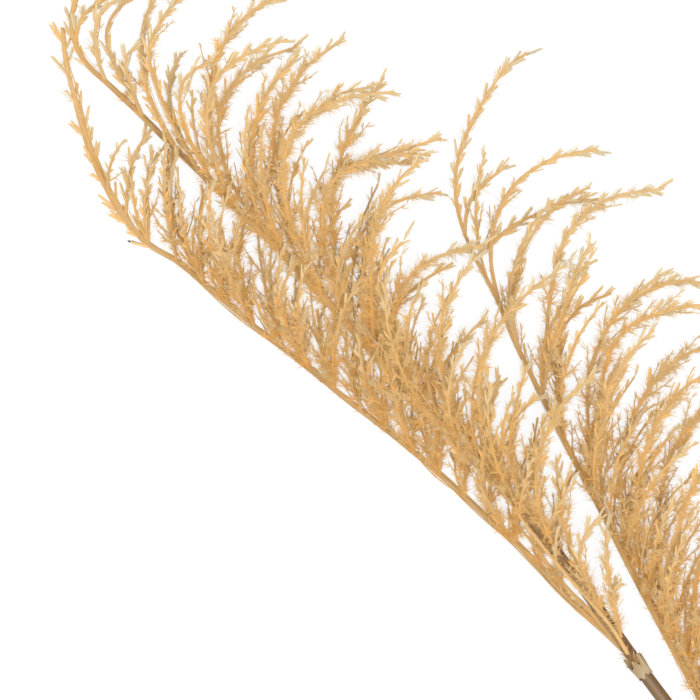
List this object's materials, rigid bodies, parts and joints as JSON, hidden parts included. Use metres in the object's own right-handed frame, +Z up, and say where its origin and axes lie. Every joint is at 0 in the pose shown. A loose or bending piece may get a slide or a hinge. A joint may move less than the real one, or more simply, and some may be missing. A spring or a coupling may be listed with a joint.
{
  "type": "bundle of dried reed plumes",
  "caption": "Dried golden one-sided grass plumes with feathery arching branches on bare brown stems, tied with twine and lying flat.",
  "frame": {"origin": "on the surface that the bundle lies on, below the middle of its box", "axes": "+Z up from the surface, +Y along the stems from their cut ends towards the plume tips, +X to the side that the plume branches lean to"},
  "size_m": [0.1548, 0.5487, 0.0587],
  "materials": {
    "dried_plume": "matte",
    "dried_stem": "satin",
    "twine": "matte"
  },
  "bodies": {
    "root": {"plume_left": "dried_plume", "plume_right": "dried_plume", "stem_left": "dried_stem", "stem_right": "dried_stem", "tie_twine": "twine"}
  },
  "joints": []
}
